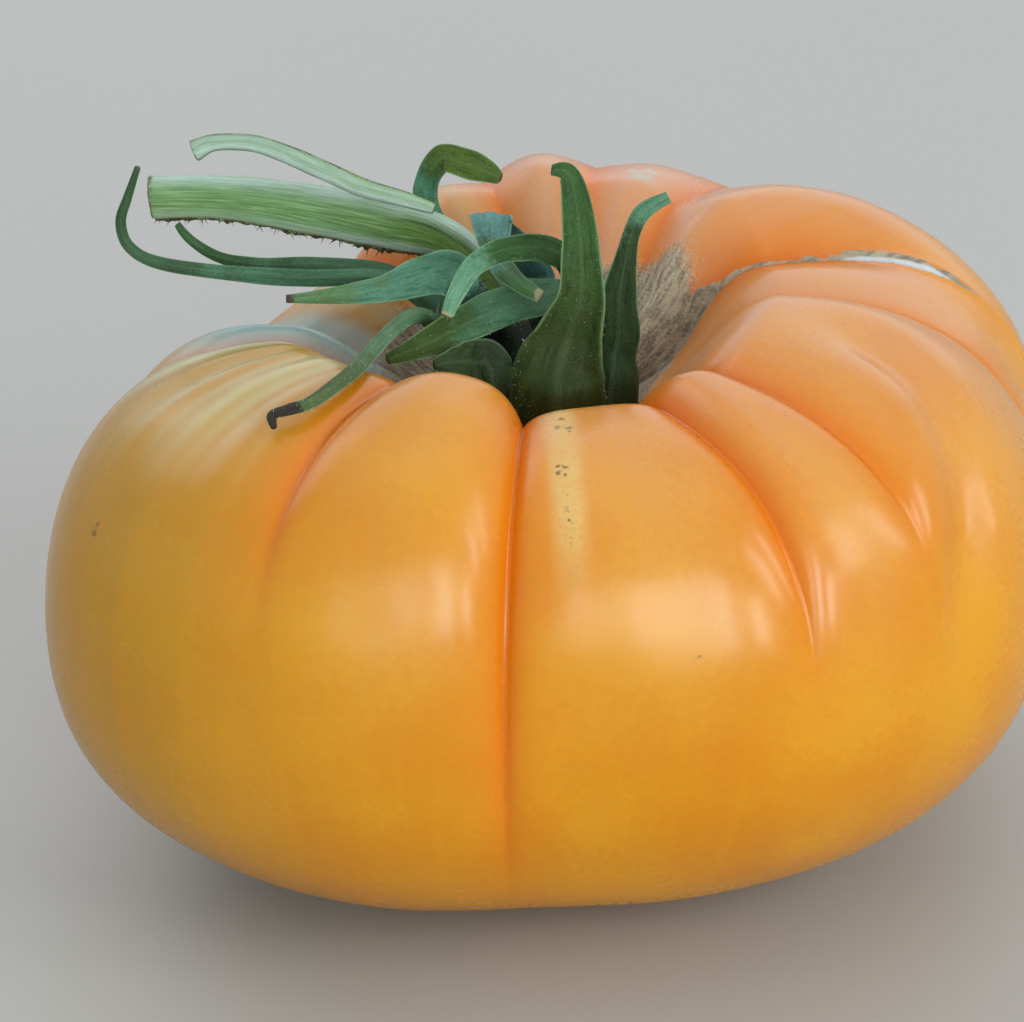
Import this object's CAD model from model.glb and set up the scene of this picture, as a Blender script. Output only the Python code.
# %% [markdown]
# # A ribbed beefsteak tomato
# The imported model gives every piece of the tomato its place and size: the fruit, the green cup of its
# calyx, eleven sepals, and a torn length of stalk with one loose strand. Those solids are plain. This
# lesson gives each of them a finer skin on the same lines, and then a finish: glossy ripe skin, cork,
# fuzzy sepals and a ribbed stalk.

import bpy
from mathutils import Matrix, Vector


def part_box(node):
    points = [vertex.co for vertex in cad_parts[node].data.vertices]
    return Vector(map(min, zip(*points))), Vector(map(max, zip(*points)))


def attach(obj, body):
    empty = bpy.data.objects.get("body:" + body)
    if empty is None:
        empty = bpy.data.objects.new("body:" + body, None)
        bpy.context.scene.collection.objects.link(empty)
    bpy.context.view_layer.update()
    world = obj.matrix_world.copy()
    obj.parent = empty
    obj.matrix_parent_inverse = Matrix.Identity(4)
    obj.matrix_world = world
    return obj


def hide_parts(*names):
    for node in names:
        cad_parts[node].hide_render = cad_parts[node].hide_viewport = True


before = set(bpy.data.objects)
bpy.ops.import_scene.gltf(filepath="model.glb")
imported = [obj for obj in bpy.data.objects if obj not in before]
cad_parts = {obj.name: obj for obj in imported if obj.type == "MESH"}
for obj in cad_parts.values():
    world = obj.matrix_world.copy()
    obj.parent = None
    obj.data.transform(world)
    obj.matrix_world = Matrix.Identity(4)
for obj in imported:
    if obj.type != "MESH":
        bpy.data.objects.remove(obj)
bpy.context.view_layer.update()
print("pieces in the frame:", len(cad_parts))

# %% [markdown]
# ## Units and the middle of the tomato
# A fruit grows around its stalk, so its shape is easiest to write in azimuth and radius around the middle
# of the stem cavity. All lengths below are millimetres from that middle. The calyx cup is a turned piece,
# so the middle of its box tells where the cavity stands in the frame.

# %% Units and the cavity's middle
import math

import bmesh
import bpy
import numpy as np
from mathutils import Vector, noise

MM = 0.001
CUP_MIDDLE = (0.0, 0.5)  # the cup grows this far from the cavity's middle
cup_low, cup_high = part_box("calyx_cup")
CAVITY = Vector(
    ((cup_low.x + cup_high.x) / 2 - CUP_MIDDLE[0] * MM, (cup_low.y + cup_high.y) / 2 - CUP_MIDDLE[1] * MM, 0)
)
print("the cavity's middle in mm:", [round(v / MM, 2) for v in CAVITY])


def polar(azimuth, elevation):
    """The direction towards this azimuth and elevation, in degrees. Azimuth 270 is the front."""
    turn, tilt = math.radians(azimuth), math.radians(elevation)
    return Vector((math.cos(turn) * math.cos(tilt), math.sin(turn) * math.cos(tilt), math.sin(tilt)))


# %% [markdown]
# ## The camera
# A long lens from about 40 cm looks a little down on the fruit, as someone does who leans over a garden
# table. A long lens keeps the near lobes from swelling. An aim point and a distance are easier to read
# than a bare rotation.


# %% Camera
def new_object(name, data):
    """An object that shows this mesh, lamp or camera, placed in the scene."""
    thing = bpy.data.objects.new(name, data)
    bpy.context.scene.collection.objects.link(thing)
    return thing


VIEW_AIM = Vector((-2.8, 0.0, 41.2))
VIEW_ELEVATION = 24.2
VIEW_DISTANCE = 420.0
LENS = 116.8

camera = new_object("camera", bpy.data.cameras.new("camera"))
camera.data.lens = LENS
camera.data.sensor_width = 36
camera.data.clip_start = 0.01
towards_camera = polar(270, VIEW_ELEVATION)
camera.location = CAVITY + (VIEW_AIM + towards_camera * VIEW_DISTANCE) * MM
camera.rotation_euler = (-towards_camera).to_track_quat("-Z", "Y").to_euler()
bpy.context.scene.camera = camera
print("camera at mm:", [round(v / MM) for v in camera.location])

# %% [markdown]
# ## Soft daylight from a studio
# Waxy skin shows its shape by what it mirrors, so the lights are placed by where their reflections fall.
# One big softbox hangs overhead, one stands behind and gives the pale sheen along the crests, and a
# dimmer one fills in from the left. A few upright panes stand low in front and leave window-like patches
# on the front lobes. A pale sky does the rest.

# %% Lights
LIGHT_DISTANCE = 1.1
PANE_WHITE = (0.82, 0.97, 0.95)
# name: (azimuth, elevation, width, height, brightness, colour)
LIGHTS = {
    "overhead_softbox": (110, 76, 1.3, 1.3, 0.42, (0.96, 0.98, 1.0)),
    "back_softbox": (92, 30, 1.7, 0.75, 0.75, (0.88, 0.95, 1.0)),
    "front_pane_left": (268, 10, 0.10, 0.42, 11.0, PANE_WHITE),
    "front_pane_middle": (284, 11, 0.13, 0.50, 17.0, PANE_WHITE),
    "front_pane_right": (302, 8, 0.11, 0.34, 18.0, PANE_WHITE),
    "side_pane": (318, 27, 0.10, 0.44, 15.0, PANE_WHITE),
    "far_side_pane": (338, 30, 0.12, 0.50, 10.0, PANE_WHITE),
    "left_softbox": (145, 42, 0.7, 0.5, 1.6, (0.90, 0.97, 1.0)),
}
middle = CAVITY + Vector((0, 0, 40 * MM))
for name, (azimuth, elevation, width, height, brightness, colour) in LIGHTS.items():
    lamp = bpy.data.lights.new(name, "AREA")
    lamp.shape = "RECTANGLE"
    lamp.size, lamp.size_y = width, height
    lamp.energy = brightness * math.pi * width * height
    lamp.color = colour
    light = new_object(name, lamp)
    way = polar(azimuth, elevation)
    light.location = middle + way * LIGHT_DISTANCE
    light.rotation_euler = way.to_track_quat("Z", "Y").to_euler()

sky = bpy.data.worlds.new("pale_sky")
sky.use_nodes = True
sky.node_tree.nodes["Background"].inputs["Color"].default_value = (0.86, 0.93, 1.0, 1)
sky.node_tree.nodes["Background"].inputs["Strength"].default_value = 0.74
bpy.context.scene.world = sky
bpy.context.scene.view_settings.view_transform = "Standard"
print("lights:", len(LIGHTS))

# %% [markdown]
# ## Small helpers for shader nodes
# A procedural material is a chain of nodes. One helper, *add*, makes a node and fills or links its
# inputs. The others are short names for the nodes that these finishes use again and again: sums, mixes,
# noise and values painted on a mesh.


# %% Node helpers
def add(tree, kind, inputs=None, **settings):
    """A new node. Inputs are values, or sockets to link from; settings are the node's own properties."""
    node = tree.nodes.new(kind)
    for key, value in settings.items():
        setattr(node, key, value)
    for key, value in (inputs or {}).items():
        if isinstance(value, bpy.types.NodeSocket):
            tree.links.new(value, node.inputs[key])
        else:
            node.inputs[key].default_value = value
    return node


def math_node(tree, operation, a, b=0.0):
    return add(tree, "ShaderNodeMath", {0: a, 1: b}, operation=operation).outputs[0]


def times(tree, a, b):
    return math_node(tree, "MULTIPLY", a, b)


def vector_math(tree, operation, inputs):
    return add(tree, "ShaderNodeVectorMath", inputs, operation=operation).outputs[0]


def number_mix(tree, factor, a, b):
    """Number a turning into number b by the factor."""
    return add(tree, "ShaderNodeMix", {0: factor, 2: a, 3: b}, data_type="FLOAT").outputs[0]


def colour_mix(tree, factor, a, b, blend="MIX"):
    """Colour a turning into colour b by the factor."""
    return add(tree, "ShaderNodeMix", {0: factor, 6: a, 7: b}, data_type="RGBA", blend_type=blend).outputs[2]


def noise_at(tree, place, scale, detail):
    return add(tree, "ShaderNodeTexNoise", {"Vector": place, "Scale": scale, "Detail": detail}).outputs[0]


def bump(tree, height, strength, distance, shader):
    """Relief of this height on the shader's surface. It moves no points."""
    relief = add(tree, "ShaderNodeBump", {"Height": height, "Strength": strength, "Distance": distance})
    tree.links.new(relief.outputs[0], shader.inputs["Normal"])


def ramp(tree, value, low, high, to_low=0.0, to_high=1.0):
    """The value stretched smoothly from low..high to to_low..to_high, and held beyond them."""
    inputs = {"Value": value, "From Min": low, "From Max": high, "To Min": to_low, "To Max": to_high}
    return add(tree, "ShaderNodeMapRange", inputs, interpolation_type="SMOOTHSTEP").outputs[0]


def attribute(tree, name):
    """A value painted on the mesh's points."""
    return add(tree, "ShaderNodeAttribute", attribute_name=name).outputs["Fac"]


def srgb(red, green, blue):
    """A colour as a screen shows it, 0 to 255, in the linear values that a shader takes."""
    shares = (v / 255 for v in (red, green, blue))
    return (*(((v + 0.055) / 1.055) ** 2.4 if v > 0.04 else v / 12.92 for v in shares), 1)


def new_material(name):
    """(material, tree, shader) of a new Principled material."""
    material = bpy.data.materials.new(name)
    material.use_nodes = True
    return material, material.node_tree, material.node_tree.nodes["Principled BSDF"]


# %% [markdown]
# ## Effects that several finishes share
# A node group is a small machine with named inputs and outputs. *mottle* is uneven colour at two sizes,
# as every living skin has it. *radial_streaks* draws lines that run out from the stalk and down the
# sides: it turns each place into a direction around the cavity, so the noise changes quickly around the
# fruit and slowly along it. *spot* is a small round mark at a named place.


# %% Shared node groups
def new_group(name, inputs, outputs, kind="ShaderNodeTree"):
    """(group tree, its inputs, its outputs) with these (name, socket type, value) inputs."""
    tree = bpy.data.node_groups.new(name, kind)
    for title, socket_type, value in inputs:
        socket = tree.interface.new_socket(name=title, in_out="INPUT", socket_type=socket_type)
        if value is not None:
            socket.default_value = value
    for title, socket_type in outputs:
        tree.interface.new_socket(name=title, in_out="OUTPUT", socket_type=socket_type)
    return tree, tree.nodes.new("NodeGroupInput").outputs, tree.nodes.new("NodeGroupOutput").inputs


def make_mottle():
    inputs = (
        ("Vector", "NodeSocketVector", None),
        ("Patch Size mm", "NodeSocketFloat", 12.0),
        ("Grain Size mm", "NodeSocketFloat", 1.0),
        ("Grain Share", "NodeSocketFloat", 0.3),
    )
    tree, given, result = new_group("mottle", inputs, (("Value", "NodeSocketFloat"),))
    patches = math_node(tree, "DIVIDE", 1000, given["Patch Size mm"])
    grains = math_node(tree, "DIVIDE", 1000, given["Grain Size mm"])
    coarse = noise_at(tree, given["Vector"], patches, 1)
    fine = noise_at(tree, given["Vector"], grains, 0)
    tree.links.new(number_mix(tree, given["Grain Share"], coarse, fine), result["Value"])
    return tree


def make_radial_streaks():
    inputs = (
        ("Vector", "NodeSocketVector", None),
        ("Streaks", "NodeSocketFloat", 20.0),
        ("Rise", "NodeSocketFloat", 20.0),
        ("Detail", "NodeSocketFloat", 1.0),
    )
    tree, given, result = new_group("radial_streaks", inputs, (("Value", "NodeSocketFloat"),))
    level = vector_math(tree, "MULTIPLY", {0: given["Vector"], 1: (1, 1, 0)})
    direction = vector_math(tree, "NORMALIZE", {0: level})
    spread = vector_math(tree, "SCALE", {0: direction, "Scale": given["Streaks"]})
    upright = vector_math(tree, "MULTIPLY", {0: given["Vector"], 1: (0, 0, 1)})
    slow = vector_math(tree, "SCALE", {0: upright, "Scale": given["Rise"]})
    place = vector_math(tree, "ADD", {0: spread, 1: slow})
    tree.links.new(noise_at(tree, place, 1.0, given["Detail"]), result["Value"])
    return tree


def make_spot():
    inputs = (
        ("Vector", "NodeSocketVector", None),
        ("Centre", "NodeSocketVector", None),
        ("Radius mm", "NodeSocketFloat", 0.5),
        ("Ragged", "NodeSocketFloat", 1.0),
    )
    tree, given, result = new_group("spot", inputs, (("Value", "NodeSocketFloat"),))
    far = add(tree, "ShaderNodeVectorMath", {0: given["Vector"], 1: given["Centre"]}, operation="DISTANCE")
    edge = times(tree, given["Radius mm"], given["Ragged"])
    share = math_node(tree, "DIVIDE", far.outputs["Value"], times(tree, edge, MM))
    tree.links.new(ramp(tree, share, 1.5, 0.4), result["Value"])
    return tree


MOTTLE = make_mottle()
RADIAL_STREAKS = make_radial_streaks()
SPOT = make_spot()


def use_group(tree, group, inputs):
    return add(tree, "ShaderNodeGroup", inputs, node_tree=group).outputs[0]


def mottled(tree, place, patch_size, grain_size, grain_share):
    inputs = {"Patch Size mm": patch_size, "Grain Size mm": grain_size, "Grain Share": grain_share}
    return use_group(tree, MOTTLE, {"Vector": place, **inputs})


def streaked(tree, place, streaks, rise, detail=1.0):
    inputs = {"Streaks": streaks, "Rise": rise, "Detail": detail}
    return use_group(tree, RADIAL_STREAKS, {"Vector": place, **inputs})


print("shared node groups:", ", ".join(group.name for group in (MOTTLE, RADIAL_STREAKS, SPOT)))

# %% [markdown]
# ## The floor
# A plain pale floor carries the soft shadow and throws light back under the fruit. Its colour is the same
# all over, so it is set on the shader's own socket and needs no nodes.


# %% Floor
FLOOR_HALF_WIDTH = 3.0


def make_floor():
    material, _, shader = new_material("pale_floor")
    shader.inputs["Base Color"].default_value = srgb(172, 167, 161)
    shader.inputs["Roughness"].default_value = 0.6
    mesh = bpy.data.meshes.new("floor")
    bm = bmesh.new()
    bmesh.ops.create_grid(bm, x_segments=1, y_segments=1, size=FLOOR_HALF_WIDTH)
    bm.to_mesh(mesh)
    bm.free()
    mesh.materials.append(material)
    return new_object("floor", mesh)


make_floor()

# %% [markdown]
# ## The fruit's plain body
# Cut a tomato from stem to blossom end and the cut edge is one smooth line: out of the sunken cavity,
# over the shoulder, down the side and in to the flat spot. Twelve such lines, one every 30 degrees, give
# a body that is wider on the right than on the left. A smooth closed curve through each column of the
# table fills in the rest.

# %% The body's measures
SIDE_BULGE = 2.35  # exponent of the outer upper curve: 2 is an ellipse, more is squarer
BELLY_BULGE = 2.14
BASE_RADIUS = 17.0
CAVITY_FLOOR = 54.0
CAVITY_WALL_STEEPNESS = 1.5

# where each stretch of a meridian ends, from the cavity's floor (0) to the blossom end (1)
SHOULDER_AT = 0.30
EQUATOR_AT = 0.58
BASE_AT = 0.86

# (azimuth, equator radius, equator height, shoulder height, shoulder radius)
OUTLINE = (
    (0, 65, 38, 74, 30.5),
    (30, 73, 37, 75, 34.5),
    (60, 69, 36, 73.6, 36),
    (90, 58, 35, 76, 34),
    (120, 51, 34, 71, 31),
    (150, 54, 34, 61, 30),
    (180, 57, 35, 67, 32),
    (210, 65, 36, 70, 34),
    (240, 62, 38, 72, 32),
    (270, 54, 40, 70, 30),
    (300, 59, 40, 71, 31),
    (330, 66, 39, 73, 31.5),
)


def lerp(a, b, share):
    return a + (b - a) * share


def smooth(share):
    share = np.clip(share, 0.0, 1.0)
    return share * share * (3 - 2 * share)


def curve_through(a, b, c, d, f):
    """A smooth curve's value at share f of the way from b to c. It works on numbers, arrays and vectors."""
    return 0.5 * (2 * b + (c - a) * f + (2 * a - 5 * b + 4 * c - d) * f**2 + (3 * b - a - 3 * c + d) * f**3)


def around(table, column, azimuth):
    """A column of an evenly spaced closed table at these azimuths, read as a smooth closed curve."""
    values = np.array([row[column] for row in table], float)
    place = (np.asarray(azimuth, float) % 360) / 360 * len(values)
    i = place.astype(int)
    return curve_through(*(values[(i + k) % len(values)] for k in (-1, 0, 1, 2)), place - i)


def superellipse(share, exponent):
    """(cosine-like, sine-like) at share of a quarter turn of a superellipse."""
    angle = np.clip(share, 0, 1) * math.pi / 2
    return np.abs(np.cos(angle)) ** (2 / exponent), np.abs(np.sin(angle)) ** (2 / exponent)


def meridian(azimuth, t):
    """(radius, height) of the body without ribs, at t from the cavity's floor (0) to the blossom end (1)."""
    equator, belt, shoulder, rim = (around(OUTLINE, k, azimuth) for k in (1, 2, 3, 4))
    inner = np.clip(t / SHOULDER_AT, 0, 1)
    rise = (1 - np.cos(math.pi * inner**CAVITY_WALL_STEEPNESS)) / 2
    over_c, over_s = superellipse(1 - (t - SHOULDER_AT) / (EQUATOR_AT - SHOULDER_AT), SIDE_BULGE)
    under_c, under_s = superellipse((t - EQUATOR_AT) / (BASE_AT - EQUATOR_AT), BELLY_BULGE)
    stretches = [t < SHOULDER_AT, t < EQUATOR_AT, t < BASE_AT]
    radii = [rim * inner, lerp(rim, equator, over_c), lerp(BASE_RADIUS, equator, under_c)]
    heights = [lerp(CAVITY_FLOOR, shoulder, rise), lerp(belt, shoulder, over_s), lerp(belt, 0, under_s)]
    spot = BASE_RADIUS * np.clip((1 - t) / (1 - BASE_AT), 0, 1)
    return np.select(stretches, radii, spot), np.select(stretches, heights, 0.0)


print("widest radius in mm:", round(float(around(OUTLINE, 1, np.arange(360)).max()), 1))

# %% [markdown]
# ## Lobes and creases
# A beefsteak tomato has many chambers, and each one pushes out a lobe. Between two lobes the skin is held
# back, so it folds into a crease that starts in the cavity and fades out under the belly. Each crease
# swings a little to the side on its way down. The mesh has the same number of columns in every lobe, and
# they crowd towards the creases. So a line of points runs exactly along each fold, and the fold stays
# sharp.

# %% Creases
# (azimuth at the shoulder, at the equator, depth at the shoulder, where it ends, sharpness, fold depth)
CREASES = (
    (4, -3, 5.4, 0.60, 0.6, 0.5),
    (37, 6, 7.8, 0.49, 0.5, 0.1),
    (58, 58, 1.8, 0.56, 0.3, 0.2),
    (77, 82, 1.8, 0.56, 0.3, 0.2),
    (98, 104, 2.2, 0.58, 0.3, 0.3),
    (125, 128, 4.4, 0.62, 0.6, 0.4),
    (152, 152, 4.8, 0.62, 0.7, 0.4),
    (180, 178, 4.0, 0.60, 0.5, 0.4),
    (237, 239, 2.8, 0.56, 0.6, 0.5),
    (267, 266, 4.5, 0.74, 1.0, 0.9),
    (298, 302, 4.5, 0.62, 0.9, 0.7),
    (314.5, 317, 3.6, 0.56, 0.8, 0.6),
)
# how far each lobe's own crest lies under the plain body, starting with the lobe after the first crease
CREST_SINK = (5.2, -0.3, 0, 0, 0, 2.5, 0, 0, 0, 3.0, 1.7, 0)
SWING_FROM = 0.20
FOLD_WIDTH = 0.9
SCAR_CREASE = 1  # the crease that cracked and healed

LOBE_COLUMNS = 36
ROW_BANDS = ((SHOULDER_AT, 72), (EQUATOR_AT, 86), (BASE_AT, 56), (1.0, 16))  # (t at the end, rows)
COLUMNS = LOBE_COLUMNS * len(CREASES)
ROWS = sum(rows for _, rows in ROW_BANDS)


def crease_azimuth(k, t):
    """Where crease k is at t. Past the last crease comes the first, one turn on."""
    turns, k = np.divmod(k, len(CREASES))
    top, side = (np.array([c[i] for c in CREASES], float)[k] for i in (0, 1))
    return lerp(top, side, smooth((t - SWING_FROM) / (EQUATOR_AT - SWING_FROM))) + 360 * turns


def row_place(row):
    """t of this row: each band of the meridian has rows as close as its detail needs."""
    ends = np.cumsum([0] + [rows for _, rows in ROW_BANDS])
    return np.interp(row, ends, [0] + [end for end, _ in ROW_BANDS])


def lobe_place(column):
    """(lobe, place across it from -1 to 1) of this column: columns crowd towards the creases."""
    lobe, share = np.divmod((column % COLUMNS) / LOBE_COLUMNS, 1)
    even = 2 * share - 1
    return lobe.astype(int), 0.55 * even + 0.45 * np.sin(even * math.pi / 2)


print("columns:", COLUMNS, "rows:", ROWS, "triangles:", 2 * COLUMNS * (ROWS - 1))

# %% [markdown]
# ## From a grid to the skin
# A flat grid has columns and rows. Bent round the stalk it becomes a closed skin: its first and last
# columns meet in a seam, and its end rows shrink to the two poles. The skin first takes the plain body's
# shape, and then sinks: in a broad wave across each lobe, in a narrow fold along each crease, and in the
# small unevenness that breaks a highlight up.

# %% The grid's columns and rows
fruit_mesh = bpy.data.meshes.new("fruit_skin")
bm = bmesh.new()
bmesh.ops.create_grid(bm, x_segments=COLUMNS, y_segments=ROWS, size=0.5)
bm.to_mesh(fruit_mesh)
bm.free()
grid = np.empty(len(fruit_mesh.vertices) * 3, np.float32)
fruit_mesh.vertices.foreach_get("co", grid)
grid = grid.reshape(-1, 3).astype(float)
column = np.round((grid[:, 0] + 0.5) * COLUMNS)
row = np.round((0.5 - grid[:, 1]) * ROWS)

t = row_place(row)
lobe, across = lobe_place(column)
left_edge, right_edge = crease_azimuth(lobe, t), crease_azimuth(lobe + 1, t)
azimuth = lerp(left_edge, right_edge, (across + 1) / 2)
nearest = np.where(across < 0, lobe, lobe + 1) % len(CREASES)
radius, height = meridian(azimuth, t)
from_crease = np.radians((right_edge - left_edge) * (1 - np.abs(across)) / 2) * radius
print("points:", len(t), "lobes:", lobe.max() + 1)


# %% How deep the skin sinks
def crease_value(i):
    """Value i of the nearest crease, for every point."""
    return np.array([c[i] for c in CREASES], float)[nearest]


def azimuth_from(line):
    """How far every point lies from this azimuth, from -180 to 180 degrees."""
    return (azimuth - line + 180) % 360 - 180


def wobble(size, seed):
    """Smooth noise from -1 to 1 over the body, with bumps of this size in mm."""
    turn = np.radians(azimuth)
    places = np.stack([radius * np.cos(turn), radius * np.sin(turn), height], 1) / size + seed
    return np.array([noise.noise(Vector(p)) for p in places])


down = smooth((t - SHOULDER_AT) / (EQUATOR_AT - SHOULDER_AT))
floor_fade = smooth((t - 0.04) / 0.18)  # the creases fade out on the cavity's floor
end = crease_value(3)
reach = floor_fade * (1 - smooth((t - SHOULDER_AT) / (end - SHOULDER_AT)))
cusp = np.abs(across) ** lerp(3.0, 5.0, down)
wave = (1 - np.cos(math.pi * across)) / 2
edge = lerp(wave, cusp, crease_value(4))
crest = np.array(CREST_SINK)[lobe] * floor_fade * (1 - down)
lobes_sink = lerp(crest, crease_value(2) * reach, edge)
fold_reach = floor_fade * (1 - smooth((t - end + 0.16) / 0.16))
fold_sink = crease_value(5) * fold_reach * np.exp(-from_crease / FOLD_WIDTH)
uneven = 0.16 * wobble(13, 3.0) + 0.05 * wobble(5, 9.0)
sink = lobes_sink + fold_sink + uneven * smooth(t / 0.1) * (1 - smooth((t - 0.78) / 0.08))
print("deepest crease in mm:", round(float(sink.max()), 1))

# %% [markdown]
# ## Soft valleys and fine ridges
# Inside a lobe the skin has slight valleys, where a chamber wall pulls on it, and the shoulder that
# ripens last has fine ridges running down from the cavity. Both are the same thing at two sizes: a groove
# along a line of azimuth that swings on its way down, with a depth, a width, and a start and an end on
# the meridian.

# %% Valleys
# (azimuth at the shoulder, at the equator, depth, half width, start, end)
VALLEYS = (
    (336, 321, 1.9, 3.8, 0.30, 0.62),
    (224, 226, 0.6, 2.0, 0.20, 0.46),
    (216, 216, 0.55, 1.5, 0.20, 0.42),
    (209, 208, 0.7, 1.7, 0.20, 0.44),
    (201, 200, 0.6, 1.6, 0.20, 0.44),
    (193, 192, 0.7, 1.8, 0.20, 0.44),
    (186, 185, 0.5, 1.4, 0.20, 0.42),
    (248, 250, 0.35, 5.0, 0.30, 0.60),
    (285, 288, 0.30, 4.0, 0.32, 0.60),
)


def valley_sink(top, side, depth, half_width, start, end):
    """How far this valley lowers the skin, for every point."""
    off = azimuth_from(lerp(top, side, down))
    profile = np.exp(-((np.radians(off) * radius / half_width) ** 2))
    return depth * profile * smooth((t - start) / 0.06) * (1 - smooth((t - end + 0.10) / 0.10))


for valley in VALLEYS:
    sink = sink + valley_sink(*valley)
print("valleys:", len(VALLEYS))

# %% [markdown]
# ## Cork, a crack and a healed seam
# Where skin has torn it heals as cork. The cavity is lined with it around the calyx; the crease on the
# right cracked open in dry weather and closed with a silvery ridge; and a flower part that stuck to the
# young fruit left a straw-coloured seam on the front lobe. Each is first a mask from 0 to 1, and then a
# small relief made from that mask.

# %% Cork masks and relief
# (azimuth, how far up the cavity's wall the cork reaches, as a share of the way to the shoulder)
CORK_REACH = (
    (0, 0.38), (20, 0.46), (40, 0.76), (60, 0.71), (80, 0.66), (100, 0.62), (120, 0.74), (140, 0.80),
    (160, 0.66), (180, 0.62), (200, 0.54), (220, 0.48), (240, 0.46), (260, 0.46), (280, 0.46),
    (300, 0.42), (320, 0.38), (340, 0.36),
)
SCAR_START, SCAR_OPENS, SCAR_CLOSES, SCAR_END = 0.19, 0.33, 0.40, 0.455
SEAM_AZIMUTH = 274.5
SEAM_END = 0.53

inner = t / SHOULDER_AT
cork_reach = around(CORK_REACH, 1, azimuth)
cork = smooth((cork_reach - inner) / 0.14 + 0.5 + 0.35 * wobble(4, 21.0)) * (t < SHOULDER_AT)
along_scar = smooth((t - SCAR_START) / 0.03) * (1 - smooth((t - SCAR_END + 0.03) / 0.03))
opening = smooth((t - SCAR_OPENS) / 0.03) * (1 - smooth((t - SCAR_CLOSES) / 0.04))
scar_width = 0.10 + 0.95 * opening + 0.25 * wobble(2.0, 5.0) + 1.6 * (1 - smooth((t - SCAR_START) / 0.08))
off_scar = np.where(nearest == SCAR_CREASE, from_crease, 99.0)
scar = along_scar * (1 - smooth((off_scar - scar_width) / 0.4))
scar_core = opening * along_scar * (1 - smooth((off_scar - 0.62 * scar_width) / 0.3))
lips = along_scar * np.exp(-(((off_scar - scar_width - 0.3) / 0.45) ** 2))
off_seam = np.radians(azimuth_from(SEAM_AZIMUTH)) * radius
along_seam = smooth((t - 0.27) / 0.02) * (1 - smooth((t - SEAM_END + 0.10) / 0.10))
seam = along_seam * np.exp(-((off_seam / 1.9) ** 4))
seam_core = along_seam * np.exp(-((off_seam / 0.45) ** 2))

sink = sink - cork * (0.25 * wobble(1.6, 2.0) + 0.2 * wobble(3.5, 7.0))
sink = sink - 0.28 * lips + 0.35 * scar_core + 0.15 * scar * wobble(1.2, 4.0)
sink = sink - 0.12 * seam_core * (1 + wobble(1.0, 6.0))
print("points on cork:", int((cork > 0.5).sum()), "on the crack:", int((scar > 0.5).sum()))

# %% Move the points
STEP = 0.002  # how far to either side of a point the slope of its meridian is read
DIMPLE_RADIUS, DIMPLE_DEPTH = 10.0, 0.9  # the blossom end is a shallow dimple in the flat spot

radius_before, height_before = meridian(azimuth, np.maximum(t - STEP, 0))
radius_after, height_after = meridian(azimuth, np.minimum(t + STEP, 1))
run, rise = radius_after - radius_before, height_after - height_before
length = np.hypot(run, rise)
# inside the cavity the skin sinks straight down, so that the wall stays where it is
on_wall = t < SHOULDER_AT
radius = radius + np.where(on_wall, 0, rise / length) * sink
height = np.maximum(height - np.where(on_wall, 1, run / length) * sink, 0)
height = np.where(t > BASE_AT, DIMPLE_DEPTH * smooth(1 - radius / DIMPLE_RADIUS), height)
turn = np.radians(azimuth)
skin = np.stack([radius * np.cos(turn), radius * np.sin(turn), height], 1) * MM + np.array(CAVITY)
fruit_mesh.vertices.foreach_set("co", skin.astype(np.float32).ravel())
fruit_mesh.update()
fruit = new_object("fruit_skin", fruit_mesh)
print("fruit in mm:", (np.ptp(skin, axis=0) / MM).round(1))

# %% [markdown]
# ## Where the fruit is ripe, green or blushed
# This tomato ripens unevenly. The left shoulder is still olive with pale streaks, the front is orange,
# and the back and right are flushed with pink. A table by azimuth says how much of each there is, and the
# height on the fruit does the rest. The masks are stored on the points, where the material reads them by
# name.

# %% Ripeness masks
# (azimuth, olive, blush, green-white shoulder)
TINTS = (
    (0, 0.0, 0.35, 0.0),
    (30, 0.0, 0.45, 0.0),
    (60, 0.10, 0.85, 0.10),
    (90, 0.25, 0.90, 0.10),
    (120, 0.30, 0.45, 0.30),
    (150, 0.60, 0.00, 0.80),
    (180, 0.85, 0.00, 0.85),
    (210, 1.00, 0.00, 0.95),
    (240, 0.35, 0.10, 0.15),
    (270, 0.0, 0.22, 0.0),
    (300, 0.0, 0.35, 0.0),
    (330, 0.0, 0.45, 0.0),
)
UNRIPE_AZIMUTH = 163  # the lobe behind the left shoulder stays a greyish green
UNRIPE_REACH = 24


def paint(mesh, name, values):
    mesh.attributes.new(name, "FLOAT", "POINT").data.foreach_set("value", values.astype(np.float32))


upper = 1 - smooth((t - 0.30) / 0.34)
crest_share = 1 - np.abs(across) ** 2  # most on the middle of each lobe
shoulder = 1 - smooth((t - 0.33) / 0.12)
masks = {
    "olive": np.clip(around(TINTS, 1, azimuth), 0, 1) * lerp(0.8, 1, upper),
    "blush": np.clip(around(TINTS, 2, azimuth), 0, 1) * upper * lerp(0.3, 1.1, crest_share),
    "pale": np.clip(around(TINTS, 3, azimuth), 0, 1) * (1 - smooth((t - 0.34) / 0.12)),
    "unripe": smooth((UNRIPE_REACH - np.abs(azimuth - UNRIPE_AZIMUTH)) / 8) * shoulder,
    "crease": np.exp(-from_crease / 2.6) * fold_reach,
    "cork": cork,
    "scar": scar,
    "scar_core": scar_core,
    "seam": seam,
    "seam_core": seam_core,
}
for name, values in masks.items():
    paint(fruit_mesh, name, values)
print("masks:", ", ".join(masks))

# %% Close the seam and the poles
bm = bmesh.new()
bm.from_mesh(fruit_mesh)
bmesh.ops.remove_doubles(bm, verts=[v for v in bm.verts if v.is_boundary], dist=0.01 * MM)
bm.to_mesh(fruit_mesh)
bm.free()
fruit_mesh.shade_smooth()
print("points of the closed skin:", len(fruit_mesh.vertices))

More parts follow.
